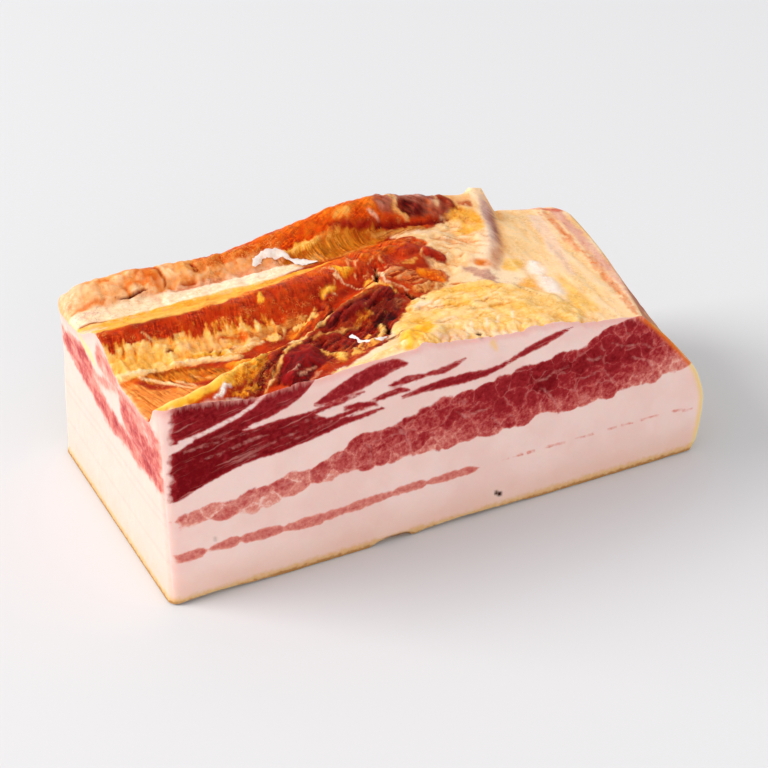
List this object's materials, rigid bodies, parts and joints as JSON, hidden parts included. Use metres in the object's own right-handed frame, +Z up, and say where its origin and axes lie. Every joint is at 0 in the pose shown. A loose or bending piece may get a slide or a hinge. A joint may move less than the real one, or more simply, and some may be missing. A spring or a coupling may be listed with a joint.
{
  "type": "slab bacon",
  "caption": "Slab of smoked bacon lying on its rind, with fresh-cut front and left faces in layers of fat and lean and a craggy smoked top.",
  "frame": {"origin": "middle of the underside of the slab's box, on the surface it rests on", "axes": "+X along the slab from the fresh-cut left end to the smoked right end, +Y from the fresh-cut front face to the back, +Z up from the rind"},
  "size_m": [0.186, 0.096, 0.0702],
  "materials": {
    "fat": "moist cut fat, pinkish white",
    "lean": "moist cut lean, crimson",
    "smoked_fat": "satin smoked fat, amber yellow",
    "smoked_lean": "glossy smoked lean, red brown"
  },
  "bodies": {
    "root": {"fat_lower": "fat", "lean_streak": "lean", "lean_main": "lean", "fat_upper": "smoked_fat", "lean_ribs": "smoked_lean"}
  },
  "joints": []
}
